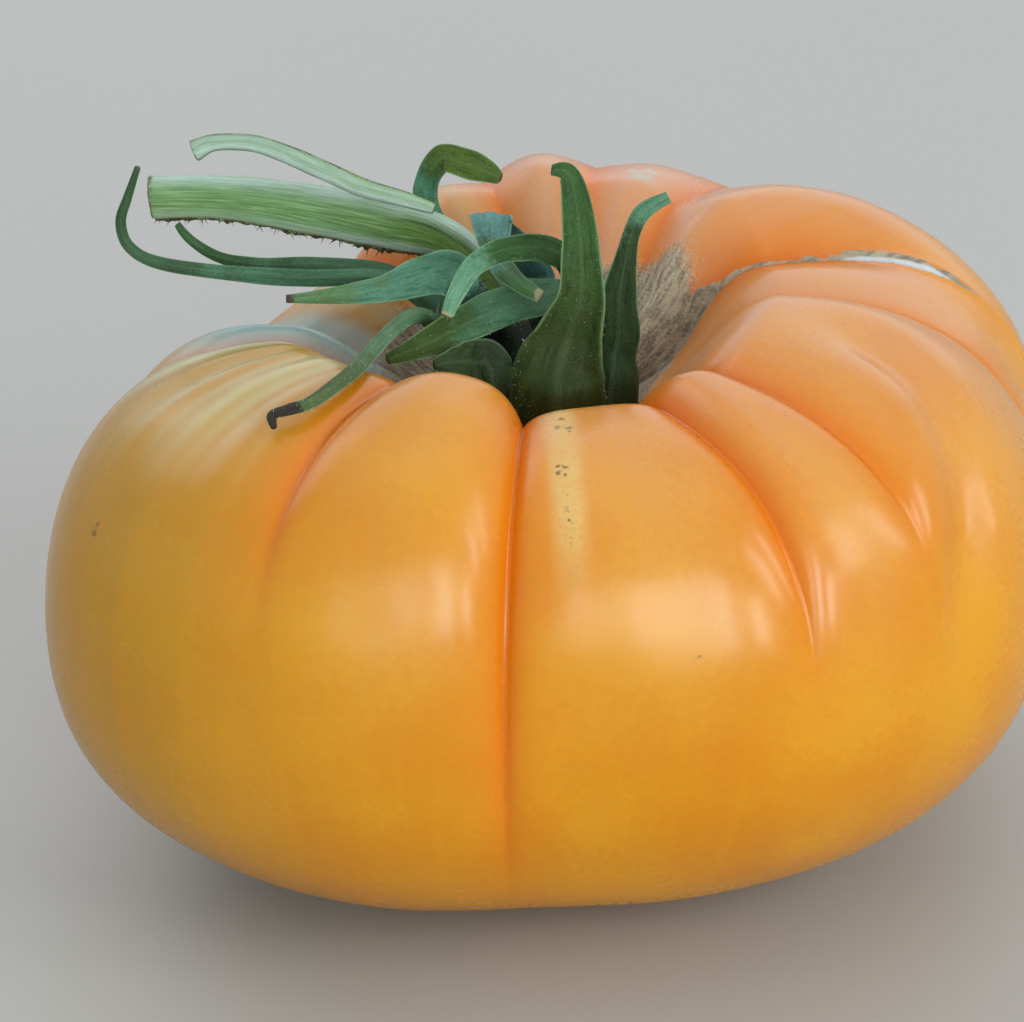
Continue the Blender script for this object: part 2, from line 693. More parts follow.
# %% [markdown]
# ## Marks on the skin
# A few small marks make a fruit this one fruit: brown pinpricks low on the front, dry specks along the
# seam, and a grey rub on the back rim. Each is given by its azimuth, how far down the meridian it sits,
# and its radius. The nearest point of the mesh gives the place, and the material's *spot* groups draw the
# mark sharper than the mesh could.

# %% Places of the marks
# (azimuth, t, radius in mm)
BROWN_MARKS = (
    (289.2, 0.548, 0.32), (214.7, 0.485, 0.36), (214.9, 0.492, 0.40), (221.0, 0.700, 0.40),
    (227.0, 0.742, 0.35), (275.2, 0.306, 0.50), (274.4, 0.318, 0.34), (276.2, 0.322, 0.38),
    (276.0, 0.330, 0.26), (273.5, 0.380, 0.24), (274.5, 0.384, 0.28), (273.3, 0.391, 0.26),
    (274.1, 0.394, 0.20), (274.3, 0.443, 0.16),
)
GREY_MARKS = ((67.8, 0.305, 1.5), (67.2, 0.318, 1.3), (70.4, 0.312, 1.0))


def skin_place(mark_azimuth, mark_t):
    """The point of the skin that lies nearest to this azimuth and this place on the meridian."""
    off = azimuth_from(mark_azimuth) / 360
    return Vector(skin[np.argmin(off**2 + (t - mark_t) ** 2)]) - CAVITY


print("marks:", len(BROWN_MARKS) + len(GREY_MARKS))

# %% [markdown]
# ## The skin's finish
# Ripe skin is a thin wax over wet flesh: it scatters a little light below the surface and mirrors the
# sky. Its colour is built in layers, as a painter would: orange and gold mottling, pink where it blushes,
# olive and pale streaks on the green shoulder, and a deeper orange in the creases. Cork, the seam, the
# marks and the crack come on top. Cork is dull and rough.


# %% Skin material
def marks_mask(tree, centred, ragged, marks):
    """Where any of these marks is."""
    mask = 0.0
    for mark_azimuth, mark_t, mark_radius in marks:
        inputs = {"Vector": centred, "Centre": skin_place(mark_azimuth, mark_t), "Ragged": ragged}
        mark = use_group(tree, SPOT, {**inputs, "Radius mm": mark_radius})
        mask = math_node(tree, "MAXIMUM", mark, mask)
    return mask


def make_skin_material():
    material, tree, shader = new_material("ripe_skin")
    place = add(tree, "ShaderNodeTexCoord").outputs["Object"]
    centred = add(tree, "ShaderNodeMapping", {"Vector": place, "Location": -CAVITY}).outputs[0]
    mottle = mottled(tree, centred, 16.0, 1.0, 0.20)
    streaks = streaked(tree, centred, 22.0, 14.0)
    fine_streaks = streaked(tree, centred, 38.0, 30.0)
    wide_streaks = streaked(tree, centred, 15.0, 18.0, 0.6)

    colour = colour_mix(tree, ramp(tree, mottle, 0.30, 0.70), ORANGE, GOLD)
    colour = colour_mix(tree, ramp(tree, fine_streaks, 0.45, 0.75, 0.0, 0.25), colour, GOLD)
    blush = times(tree, attribute(tree, "blush"), ramp(tree, streaks, 0.25, 0.6, 0.65, 1.0))
    colour = colour_mix(tree, blush, colour, PINK)
    olive = times(tree, attribute(tree, "olive"), ramp(tree, streaks, 0.25, 0.70, 0.78, 1.0))
    colour = colour_mix(tree, olive, colour, OLIVE)
    pale = times(tree, attribute(tree, "pale"), ramp(tree, wide_streaks, 0.38, 0.72, 0.0, 0.9))
    colour = colour_mix(tree, pale, colour, GREEN_WHITE)
    colour = colour_mix(tree, attribute(tree, "unripe"), colour, GREY_GREEN)
    colour = colour_mix(tree, times(tree, attribute(tree, "crease"), 0.8), colour, DEEP_ORANGE)

    fibres = streaked(tree, centred, 60.0, 500.0)
    crumbs = mottled(tree, centred, 2.5, 0.4, 0.5)
    cork_colour = colour_mix(tree, ramp(tree, fibres, 0.35, 0.65), DARK_CORK, CORK)
    cork_colour = colour_mix(tree, ramp(tree, crumbs, 0.45, 0.65, 0.0, 0.5), cork_colour, PALE_CORK)
    ragged = math_node(tree, "ADD", attribute(tree, "cork"), ramp(tree, crumbs, 0.3, 0.7, -0.14, 0.14))
    cork_mask = ramp(tree, ragged, 0.20, 0.80)
    colour = colour_mix(tree, cork_mask, colour, cork_colour)

    seam = times(tree, attribute(tree, "seam"), ramp(tree, crumbs, 0.3, 0.6, 0.6, 1.0))
    colour = colour_mix(tree, seam, colour, STRAW)
    stitches = times(tree, attribute(tree, "seam_core"), ramp(tree, crumbs, 0.52, 0.62, 0.0, 0.7))
    colour = colour_mix(tree, stitches, colour, DARK_STRAW)
    ragged_mark = ramp(tree, crumbs, 0.35, 0.65, 0.5, 1.4)
    brown = times(tree, marks_mask(tree, centred, ragged_mark, BROWN_MARKS), 0.8)
    colour = colour_mix(tree, brown, colour, MARK_BROWN)
    rubbed = marks_mask(tree, centred, ragged_mark, GREY_MARKS)
    colour = colour_mix(tree, rubbed, colour, PALE_CORK)

    scar = attribute(tree, "scar")
    colour = colour_mix(tree, ramp(tree, scar, 0.2, 0.6), colour, cork_colour)
    colour = colour_mix(tree, ramp(tree, attribute(tree, "scar_core"), 0.3, 0.7), colour, SILVER)
    tree.links.new(colour, shader.inputs["Base Color"])

    dull = math_node(tree, "MAXIMUM", cork_mask, scar)
    gloss = ramp(tree, mottle, 0.3, 0.7, 0.23, 0.29)
    tree.links.new(number_mix(tree, dull, gloss, 0.85), shader.inputs["Roughness"])
    smooth_relief = times(tree, noise_at(tree, centred, 650.0, 0), 0.014)
    bump(tree, number_mix(tree, dull, smooth_relief, crumbs), 0.6, 0.0006, shader)

    shader.subsurface_method = "BURLEY"
    shader.inputs["Subsurface Weight"].default_value = 0.18
    shader.inputs["Subsurface Radius"].default_value = (1.0, 0.35, 0.08)
    shader.inputs["Subsurface Scale"].default_value = 0.004
    shader.inputs["Specular IOR Level"].default_value = 0.35
    return material


ORANGE = srgb(203, 122, 6)
GOLD = srgb(209, 137, 18)
DEEP_ORANGE = srgb(208, 96, 0)
PINK = srgb(199, 143, 114)
OLIVE = srgb(160, 122, 30)
GREEN_WHITE = srgb(184, 186, 146)
GREY_GREEN = srgb(130, 172, 168)
CORK = srgb(170, 154, 128)
DARK_CORK = srgb(124, 108, 90)
PALE_CORK = srgb(176, 160, 136)
STRAW = srgb(208, 166, 98)
DARK_STRAW = srgb(150, 112, 66)
MARK_BROWN = srgb(96, 66, 34)
SILVER = srgb(196, 196, 196)

fruit_mesh.materials.append(make_skin_material())
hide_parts("fruit")
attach(fruit, "root")
print("skin material:", len(fruit_mesh.materials[0].node_tree.nodes), "nodes")

# %% [markdown]
# ## One way to make every sepal
# A sepal is a narrow, fleshy leaf. Its cross-section is a flat lens with a rib along the middle of its
# outer side. The lens bulges out at the root and is a little troughed from there on; the sepal that folds
# over stays flat. A cylinder with many rings is the start: each ring is moved onto the sepal's middle
# line and given the lens shape. The lines, the widths and the sides that face out are those of the solids
# in the frame, but the three front sepals start lower down, inside the cup.

# %% Sepals
TOWARDS_FRONT = (0.0, -0.9, 0.45)
TOWARDS_BACK = (0.0, 0.9, 0.45)
UPWARDS = (0.0, -0.3, 1.0)

# name: (points along the middle line, widths along it)
SEPALS = {
    "sepal_front_tall": (
        (
            (2.6, -10.0, 57.5), (2.7, -10.9, 61.5), (2.9, -10.9, 64.9), (4.0, -11.4, 69),
            (5.4, -11, 74), (5.4, -10, 79.5), (4.9, -8, 84.5), (3.9, -6.4, 88),
            (1.9, -6.4, 88.5),
        ),
        (11.6, 11.8, 11.2, 8.6, 5.8, 4.6, 3.7, 2.5, 1.3),
    ),
    "sepal_front_bent": (
        (
            (8.6, -7.4, 57.5), (9.3, -7.2, 61.5), (9.6, -6.8, 64.7), (10.1, -7.6, 68),
            (10.1, -8, 73), (10.8, -7.6, 77.5), (11.6, -7, 81), (13, -6.4, 83.4),
            (15.9, -6, 85),
        ),
        (8.0, 6.8, 5.6, 5.0, 4.4, 2.8, 2.1, 2.1, 1.5),
    ),
    "sepal_front_low": (
        (
            (-4.8, -9.4, 59.0), (-5.6, -10.4, 64.9), (-7.2, -12.6, 66.5), (-9.4, -14.4, 67.2),
            (-12.0, -15.6, 67.2),
        ),
        (6.4, 5.8, 5.4, 3.8, 1.4),
    ),
    "sepal_wide": (
        (
            (7.4, 6.0, 64.9), (5.2, 2.2, 69.6), (1.0, -1.6, 70.9), (-4.3, -5.2, 70.6),
            (-8.4, -9, 70.0), (-12.6, -12.4, 68.9), (-17.6, -15, 67.7),
        ),
        (3.6, 4.4, 5.4, 5.6, 4.8, 3.6, 1.4),
    ),
    "sepal_arched": (
        (
            (4.8, 9.8, 64.7), (5.0, 6.4, 70.5), (3.0, 1.4, 75), (0, -2, 77.2),
            (-4.1, -4.6, 77.7), (-7.4, -7, 76.6), (-9.3, -9, 74.2), (-10.6, -10.6, 71.6),
        ),
        (3.4, 3.4, 3.4, 3.4, 3.0, 2.6, 2.2, 1.4),
    ),
    "sepal_folded": (
        (
            (0.8, 12.0, 64.7), (0.4, 10.6, 69), (-2.6, 8.6, 74), (-5.2, 7.8, 77.6),
            (-5.2, 5.0, 77.2), (-4.4, 0, 74.8), (-2.4, -4.6, 73.9), (0.6, -7.6, 72.9),
        ),
        (3.6, 4.4, 5.4, 5.8, 4.8, 3.2, 2.4, 1.6),
    ),
    "sepal_left": (
        (
            (-10.6, 1.2, 64.8), (-9.6, -0.2, 69), (-9.8, -0.6, 73.0), (-13, -1.2, 73.4),
            (-17, -2, 72.3), (-22, -2.2, 71.3), (-30.4, -2.2, 70.6),
        ),
        (4.4, 4.8, 5.6, 5.2, 3.8, 2.6, 1.0),
    ),
    "sepal_drooping": (
        (
            (-9.4, -5.0, 64.9), (-12.2, -5.2, 68.4), (-14.4, -7.0, 70.2), (-17.0, -12.2, 70.5),
            (-19.3, -20, 70.6), (-21.2, -27.8, 71.2), (-25.2, -34.6, 70.5),
            (-27.8, -36.2, 70.1), (-29.8, -36.6, 69.6), (-29.6, -38.2, 68.7),
        ),
        (2.4, 2.2, 2.2, 2.1, 2.0, 2.0, 1.8, 1.6, 1.3, 0.8),
    ),
    "sepal_left_curl": (
        (
            (-10.4, 4.6, 64.8), (-15.4, 6.4, 68.6), (-20.2, 8.4, 69.4), (-29, 10.6, 68.6),
            (-37, 12, 68.6), (-47, 12.6, 69.8), (-50.9, 12.4, 72), (-51.9, 12, 75.4),
            (-50.8, 11, 79), (-49.2, 10, 83.4),
        ),
        (2.6, 2.6, 2.4, 2.2, 2.0, 1.7, 1.5, 1.4, 1.2, 0.8),
    ),
    "sepal_left_back": (
        (
            (-8.4, 7.6, 65.0), (-14.6, 10.6, 67.6), (-20.4, 13.4, 68.6), (-29, 16.4, 68.2),
            (-35.6, 18.4, 67.6), (-40.4, 19.4, 68.2), (-43.9, 19.6, 70.4), (-45.6, 19.6, 72.6),
        ),
        (2.4, 2.4, 2.4, 2.2, 1.8, 1.5, 1.3, 0.9),
    ),
    "sepal_back": (
        (
            (-6.2, 9.8, 64.6), (-9.6, 17.6, 68.4), (-13.2, 21.2, 73.0), (-13.9, 21.6, 76.4),
            (-13.2, 21.4, 79.0), (-12.0, 20.8, 80.9), (-10.9, 20.2, 81.3), (-8.8, 19, 81.0),
            (-6.3, 17.6, 80.5), (-4.4, 16.4, 79.8),
        ),
        (2.8, 3.0, 3.2, 3.2, 3.2, 3.4, 3.6, 3.8, 3.2, 1.6),
    ),
}
# name: the side that faces out (at the root, at the tip), where it isn't towards the front all along
TURNED_SEPALS = {
    "sepal_wide": (UPWARDS, TOWARDS_FRONT),
    "sepal_folded": (TOWARDS_BACK, TOWARDS_FRONT),
    "sepal_drooping": (TOWARDS_FRONT, UPWARDS),
}
SEPAL_SIDES = 28
SEPAL_RINGS = 90
SEPAL_THICKNESS = 1.15
TROUGH = 0.38
FLAT_SEPAL = "sepal_folded"
RIB_HEIGHT = 0.22


def along(values, share):
    """The value at this share of an open list, read as a smooth curve through its values."""
    place = min(max(share, 0.0), 1.0) * (len(values) - 1)
    i = min(int(place), len(values) - 2)
    before = values[i - 1] if i else values[0]
    after = values[min(i + 2, len(values) - 1)]
    return curve_through(before, values[i], values[i + 1], after, place - i)


def loft(name, sides, rings, move):
    """A closed cylinder. Its points go where move(share, angle) says: (place in mm, {mask: value})."""
    mesh = bpy.data.meshes.new(name)
    bm = bmesh.new()
    bmesh.ops.create_cone(bm, cap_ends=True, segments=sides, radius1=1, radius2=1, depth=1)
    walls = [e for e in bm.edges if abs(e.verts[0].co.z - e.verts[1].co.z) > 0.5]
    bmesh.ops.subdivide_edges(bm, edges=walls, cuts=rings - 2)
    layers = {mask: bm.verts.layers.float.new(mask) for mask in move(0.5, 0.0)[1]}
    for v in bm.verts:
        place, values = move(v.co.z + 0.5, math.atan2(v.co.y, v.co.x))
        v.co = place * MM + CAVITY
        for mask, layer in layers.items():
            v[layer] = values[mask]
    bmesh.ops.recalc_face_normals(bm, faces=bm.faces)
    bm.to_mesh(mesh)
    bm.free()
    mesh.shade_smooth()
    return new_object(name, mesh)


def sepal_mover(name, seed):
    points, widths = SEPALS[name]
    line = [Vector(p) for p in points]
    face_root, face_tip = (Vector(v) for v in TURNED_SEPALS.get(name, (TOWARDS_FRONT, TOWARDS_FRONT)))
    deepest = 0.0 if name == FLAT_SEPAL else TROUGH

    def move(share, angle):
        x, y = math.cos(angle), math.sin(angle)
        here = along(line, share)
        way = (along(line, share + 0.01) - along(line, share - 0.01)).normalized()
        face = face_root.lerp(face_tip, share)
        side = way.cross(face).normalized()
        face = side.cross(way)
        half = along(widths, share) / 2
        wave = 1 + 0.10 * noise.noise(Vector((share * 9, x, seed)))
        thick = min(SEPAL_THICKNESS, 1.3 * half) / 2 * (1 - 0.72 * abs(x) ** 2.5)
        rib = RIB_HEIGHT * math.exp(-((x / 0.2) ** 2)) * (1 - share) * (y > 0)
        curl = 0.22 * half * noise.noise(Vector((share * 7, 4 * x, seed + 5))) * abs(x)
        trough = deepest * lerp(-1, 1, smooth(4 * (share - 0.15)))
        lift = thick * y + rib - trough * half * (1 - x * x) + curl
        place = here + side * half * x * wave + face * lift
        place = place + face * 0.07 * noise.noise(place * 1.1)
        return place, {"along": share, "across": x, "outer": y, "hairy": 0.35 + 0.65 * abs(x) ** 3}

    return move


print("sepals:", len(SEPALS))

# %% [markdown]
# ## Green finishes
# Sepals are matt and finely hairy: deep green with olive where they are old, bluish where the hairs catch
# the sky, and brown and dry at the tips. The same chain of nodes serves them all, with other values for
# each sepal.


# %% Sepal material
def make_sepal_material(name, root_green, tip_green, turns_at, dry_from, dry_colour):
    """root_green turns into tip_green at turns_at, a share of the length, and dries from dry_from on."""
    material, tree, shader = new_material(name)
    place = add(tree, "ShaderNodeTexCoord").outputs["Object"]
    patches = mottled(tree, place, 4.0, 0.5, 0.25)
    grain = mottled(tree, place, 0.7, 0.22, 0.5)
    share = attribute(tree, "along")
    across = attribute(tree, "across")
    outer = attribute(tree, "outer")
    flow = add(tree, "ShaderNodeCombineXYZ", {"X": share, "Y": across, "Z": outer}).outputs[0]
    veins = noise_at(tree, vector_math(tree, "MULTIPLY", {0: flow, 1: (5.0, 3.0, 1.0)}), 2.2, 2)
    turn = math_node(tree, "ADD", share, ramp(tree, patches, 0.3, 0.7, -0.10, 0.10))
    turned = ramp(tree, turn, turns_at - 0.12, turns_at + 0.12)
    colour = colour_mix(tree, turned, srgb(*root_green), srgb(*tip_green))
    shade = ramp(tree, patches, 0.35, 0.65, 0.0, 0.35)
    shade = math_node(tree, "MAXIMUM", shade, ramp(tree, veins, 0.48, 0.64, 0.0, 0.55))
    shade = math_node(tree, "MAXIMUM", shade, ramp(tree, grain, 0.54, 0.66, 0.0, 0.25))
    colour = colour_mix(tree, shade, colour, SEPAL_SHADE, "MULTIPLY")
    side = math_node(tree, "ABSOLUTE", across)
    edge = times(tree, ramp(tree, side, 0.86, 1.0, 0.0, 0.45), ramp(tree, share, 0.2, 0.55, 0.2, 1.0))
    colour = colour_mix(tree, edge, colour, PALE_EDGE)
    rib = times(tree, ramp(tree, side, 0.16, 0.04), ramp(tree, outer, 0.5, 0.9))
    colour = colour_mix(tree, times(tree, rib, 0.06), colour, PALE_EDGE)
    dry = math_node(tree, "ADD", share, ramp(tree, patches, 0.3, 0.7, -0.04, 0.04))
    colour = colour_mix(tree, ramp(tree, dry, dry_from, dry_from + 0.05), colour, srgb(*dry_colour))
    tree.links.new(colour, shader.inputs["Base Color"])
    tree.links.new(ramp(tree, grain, 0.3, 0.7, 0.55, 0.8), shader.inputs["Roughness"])
    bump(tree, grain, 0.6, 0.0003, shader)
    shader.inputs["Specular IOR Level"].default_value = 0.25
    return material


SEPAL_SHADE = (0.32, 0.34, 0.30, 1)
PALE_EDGE = srgb(140, 168, 122)
DRY_BROWN = (92, 70, 52)
# name: (green at the root, towards the tip, where it turns, where it dries, dry colour)
SEPAL_FINISH = {
    "sepal_front_tall": ((48, 62, 18), (52, 84, 36), 0.50, 0.955, (48, 46, 30)),
    "sepal_front_bent": ((38, 58, 24), (86, 128, 100), 0.76, 1.2, DRY_BROWN),
    "sepal_front_low": ((32, 48, 20), (44, 64, 26), 0.50, 1.2, DRY_BROWN),
    "sepal_wide": ((72, 110, 78), (56, 76, 20), 0.68, 1.2, DRY_BROWN),
    "sepal_arched": ((48, 82, 36), (100, 146, 114), 0.68, 0.965, (168, 146, 112)),
    "sepal_folded": ((96, 144, 140), (74, 110, 66), 0.66, 0.970, (150, 146, 112)),
    "sepal_left": ((84, 130, 106), (92, 124, 80), 0.80, 0.940, (70, 58, 42)),
    "sepal_drooping": ((84, 116, 80), (76, 92, 50), 0.50, 0.715, (44, 36, 26)),
    "sepal_left_curl": ((74, 114, 86), (62, 90, 60), 0.45, 0.965, (84, 80, 56)),
    "sepal_left_back": ((74, 110, 80), (58, 88, 52), 0.55, 1.2, DRY_BROWN),
    "sepal_back": ((80, 128, 100), (78, 98, 34), 0.46, 1.2, DRY_BROWN),
}

sepals = []
for index, name in enumerate(SEPALS):
    sepal = loft("fine_" + name, SEPAL_SIDES, SEPAL_RINGS, sepal_mover(name, 10.0 + 3 * index))
    sepal.data.materials.append(make_sepal_material(name + "_green", *SEPAL_FINISH[name]))
    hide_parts(name)
    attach(sepal, "root")
    sepals.append(sepal)
print("triangles in the sepals:", sum(2 * len(s.data.polygons) for s in sepals))

# %% [markdown]
# ## The calyx cup
# The sepals grow together into a small green cup that clasps the stalk. It is a turned bowl with pleats
# where one sepal runs into the next. A flat grid is bent round into that bowl, and its seam and poles are
# merged.

# %% Cup
CUP_PROFILE = (
    (0.0, 57.2), (4.0, 57.6), (7.5, 59.2), (9.8, 62.0), (10.9, 64.6), (11.7, 64.4), (12.0, 61.5),
    (10.4, 57.6), (7.0, 55.6), (4.0, 54.8), (0.0, 54.6),
)
CUP_RIM_AT = 0.42  # the share of the profile at the rim
CUP_TURN_STEPS = 180
CUP_PROFILE_STEPS = 60
PLEATS = 11


def make_cup():
    profile = [Vector((r, 0, z)) for r, z in CUP_PROFILE]
    mesh = bpy.data.meshes.new("fine_calyx_cup")
    bm = bmesh.new()
    bmesh.ops.create_grid(bm, x_segments=CUP_TURN_STEPS, y_segments=CUP_PROFILE_STEPS, size=0.5)
    masks = {mask: bm.verts.layers.float.new(mask) for mask in ("along", "across", "outer")}
    for v in bm.verts:
        share = v.co.y + 0.5
        angle = (v.co.x + 0.5) * 2 * math.pi
        here = along(profile, share)
        upper_wall = float(smooth((here.z - 55) / 5)) * float(smooth(here.x / 6))
        pleat = 0.35 * math.cos(PLEATS * angle + 1.3 * math.sin(angle)) * upper_wall
        way = Vector((math.cos(angle), math.sin(angle), 0))
        rough = 0.35 * noise.noise(Vector((5 * way.x, 5 * way.y, here.z * 0.3))) * upper_wall
        outwards = way * max(here.x + pleat + rough, 0)
        v.co = (outwards + Vector((*CUP_MIDDLE, here.z + 0.8 * rough))) * MM + CAVITY
        v[masks["along"]], v[masks["across"]], v[masks["outer"]] = share, 0.8 * way.x, way.y
    bmesh.ops.remove_doubles(bm, verts=bm.verts, dist=0.005 * MM)
    bmesh.ops.recalc_face_normals(bm, faces=bm.faces)
    bm.to_mesh(mesh)
    bm.free()
    mesh.shade_smooth()
    return new_object("fine_calyx_cup", mesh)


# the same values as in a sepal's finish: it turns green at the rim and never dries
CUP_FINISH = ((18, 26, 14), (54, 72, 34), CUP_RIM_AT, 2.0, DRY_BROWN)
cup = make_cup()
cup.data.materials.append(make_sepal_material("cup_green", *CUP_FINISH))
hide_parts("calyx_cup")
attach(cup, "root")
print("cup faces:", len(cup.data.polygons))

# %% [markdown]
# ## The stalk
# The stalk was torn off with a length of the truss. It is flattened, with a pale ridge along the top, a
# green channel along its face, a second pale ridge below, and a dark ragged lower edge. Ridges and
# channels are one curve around the section, and the same curve tells the material where it is pale.

# %% Stalk
STALK_LINE = [
    Vector(point)
    for point in (
        (-0.6, 2.2, 58.9), (-1.2, 4.0, 62.0), (-3.4, 8.2, 67.0), (-7.4, 12.8, 70.6),
        (-12.2, 16.0, 72.4), (-18.0, 18.4, 72.9), (-25.0, 21.0, 73.5), (-33.0, 24.0, 73.9),
        (-41.0, 27.0, 73.7), (-49.6, 30.0, 72.7),
    )
]
STALK_HALF_HEIGHTS = (2.2, 1.8, 1.9, 2.4, 3.1, 3.6, 3.7, 3.5, 3.2, 3.2)
STALK_FLATNESS = 0.62
STALK_SIDES = 96
STALK_RINGS = 170
# angles around the section in degrees, with 0 at the front and 90 on top
TOP_RIDGE, LOW_RIDGE, BACK_RIDGE, TORN_EDGE = 62, -40, 180, -88
# (angle, ridge height, half width in degrees)
STALK_RIDGES = (
    (TOP_RIDGE, 0.30, 20),
    (20, 0.10, 8),
    (LOW_RIDGE, 0.34, 15),
    (BACK_RIDGE, 0.3, 24),
    (-84, 0.16, 9),
)


def bell(angle, at, width):
    """1 at this angle around a section, in degrees, and falling away from it on both sides."""
    return math.exp(-((((math.degrees(angle) - at + 180) % 360 - 180) / width) ** 2))


def cross_frame(line, share):
    """(place on the line, direction to its level side, direction that rises across it)."""
    way = (along(line, share + 0.01) - along(line, share - 0.01)).normalized()
    level = Vector((0, 0, 1)).cross(way).normalized()
    return along(line, share), level, way.cross(level)


def between_shares(share, start, end, soft):
    """1 from start to end along a piece, fading over a soft stretch at both."""
    return float(smooth((share - start) / soft + 0.5) * (1 - smooth((share - end) / soft + 0.5)))


def stalk_move(share, angle):
    here, level, rise = cross_frame(STALK_LINE, share)
    ridge = sum(h * bell(angle, at, w) for at, h, w in STALK_RIDGES)
    lower_edge = bell(angle, TORN_EDGE, 20) * between_shares(share, 0.22, 1.2, 0.1)
    torn = lower_edge * abs(noise.noise(Vector((share * 60, 2 * angle, 3.0))))
    flat = lerp(1, STALK_FLATNESS, float(smooth(share * 3)))
    half = along(STALK_HALF_HEIGHTS, share) * (0.90 + 0.4 * ridge + 0.28 * torn)
    half *= 1 + 0.05 * noise.noise(Vector((share * 14, math.cos(angle), math.sin(angle))))
    half *= 1 + 0.025 * noise.noise(Vector((share * 8, 7 * math.cos(angle), 7 * math.sin(angle))))
    place = here + rise * half * math.sin(angle) + level * half * flat * math.cos(angle)
    pale = bell(angle, TOP_RIDGE, 20) + bell(angle, 115, 30)
    pale += bell(angle, LOW_RIDGE, 13) * lerp(0.5, 1.0, between_shares(share, 0.25, 0.68, 0.2))
    masks = {
        "along": share,
        "top": math.sin(angle),
        "front": math.cos(angle),
        "pale": min(pale, 1.0) * between_shares(share, 0.24, 1.2, 0.1),
        "dark": bell(angle, TORN_EDGE, 24),
        "groove": 0.7 * bell(angle, 30, 6) * between_shares(share, 0.2, 0.55, 0.25),
        "bristly": lower_edge + between_shares(share, 0.18, 0.28, 0.04) * bell(angle, -60, 50),
        "hairy": 0.5,
    }
    return place, masks


def make_stalk_material(name, root_green, tip_green, pale):
    material, tree, shader = new_material(name)
    place = add(tree, "ShaderNodeTexCoord").outputs["Object"]
    share = attribute(tree, "along")
    around_it = {"Y": attribute(tree, "top"), "Z": attribute(tree, "front")}
    flow = add(tree, "ShaderNodeCombineXYZ", {"X": share, **around_it}).outputs[0]
    fibres = noise_at(tree, vector_math(tree, "MULTIPLY", {0: flow, 1: (9.0, 7.0, 7.0)}), 1.6, 3)
    grain = mottled(tree, place, 1.6, 0.3, 0.5)
    colour = colour_mix(tree, ramp(tree, share, 0.38, 0.72), srgb(*root_green), srgb(*tip_green))
    colour = colour_mix(tree, ramp(tree, fibres, 0.52, 0.68, 0.0, 0.5), colour, PALE_FIBRE)
    colour = colour_mix(tree, ramp(tree, fibres, 0.48, 0.36, 0.0, 0.45), colour, STALK_SHADE, "MULTIPLY")
    uneven = ramp(tree, fibres, 0.3, 0.55, 0.65, 1.0)
    colour = colour_mix(tree, times(tree, attribute(tree, "pale"), uneven), colour, srgb(*pale))
    ragged = math_node(tree, "ADD", attribute(tree, "dark"), ramp(tree, grain, 0.3, 0.7, -0.28, 0.28))
    colour = colour_mix(tree, ramp(tree, ragged, 0.42, 0.66), colour, STALK_EDGE)
    colour = colour_mix(tree, attribute(tree, "groove"), colour, STALK_ROOT)
    colour = colour_mix(tree, ramp(tree, share, 0.24, 0.14), colour, STALK_ROOT)
    cut = math_node(tree, "ADD", share, ramp(tree, grain, 0.3, 0.7, -0.006, 0.006))
    colour = colour_mix(tree, ramp(tree, cut, 0.988, 0.998), colour, STALK_CUT)
    tree.links.new(colour, shader.inputs["Base Color"])
    shader.inputs["Roughness"].default_value = 0.6
    bump(tree, fibres, 0.5, 0.0005, shader)
    return material


STALK_SHADE = (0.40, 0.42, 0.36, 1)
PALE_FIBRE = srgb(170, 192, 140)
STALK_EDGE = srgb(66, 62, 36)
STALK_ROOT = srgb(34, 44, 22)
STALK_CUT = srgb(112, 112, 72)

stalk = loft("fine_stalk", STALK_SIDES, STALK_RINGS, stalk_move)
# (green at the root, green at the end, pale ridge)
STALK_FINISH = ((98, 138, 46), (112, 150, 92), (172, 190, 176))
stalk.data.materials.append(make_stalk_material("stalk_green", *STALK_FINISH))
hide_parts("stalk")
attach(stalk, "root")
print("stalk faces:", len(stalk.data.polygons))

# %% [markdown]
# ## The loose strand
# One strand split from the stalk when it tore. It is a thin tube along its own line, pale on its face and
# dark above and below.

# %% Strand
STRAND_LINE = [
    Vector(point)
    for point in (
        (-12.6, 13.4, 76.8), (-16.0, 14.4, 77.6), (-21.4, 16.6, 78.4), (-26.0, 18.6, 79.8),
        (-30.6, 20.4, 81.3), (-35.5, 21.2, 82.8), (-40.5, 21.4, 82.9), (-43.2, 21.4, 81.8),
    )
]
STRAND_RADII = (0.7, 1.0, 1.2, 1.25, 1.2, 1.1, 1.1, 1.4)
STRAND_SIDES = 48
STRAND_RINGS = 110
STRAND_FINISH = ((112, 146, 74), (104, 136, 84), (178, 196, 186))


def strand_move(share, angle):
    here, level, rise = cross_frame(STRAND_LINE, share)
    half = along(STRAND_RADII, share) * (0.94 + 0.14 * bell(angle, -20, 28) + 0.1 * bell(angle, 100, 30))
    half *= 1 + 0.04 * noise.noise(Vector((share * 12, 3 * math.cos(angle), 3 * math.sin(angle))))
    place = here + rise * half * math.sin(angle) + level * half * math.cos(angle)
    masks = {
        "along": lerp(0.3, 1.0, share),
        "top": math.sin(angle),
        "front": math.cos(angle),
        "pale": min(bell(angle, -12, 30) + 0.6 * bell(angle, 52, 26), 1.0),
        "dark": max(0.8 * bell(angle, 105, 22), 0.7 * bell(angle, -85, 26)),
        "hairy": 0.5,
    }
    return place, masks


strand = loft("fine_stalk_strand", STRAND_SIDES, STRAND_RINGS, strand_move)
strand.data.materials.append(make_stalk_material("strand_green", *STRAND_FINISH))
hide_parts("stalk_strand")
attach(strand, "root")
print("strand faces:", len(strand.data.polygons))

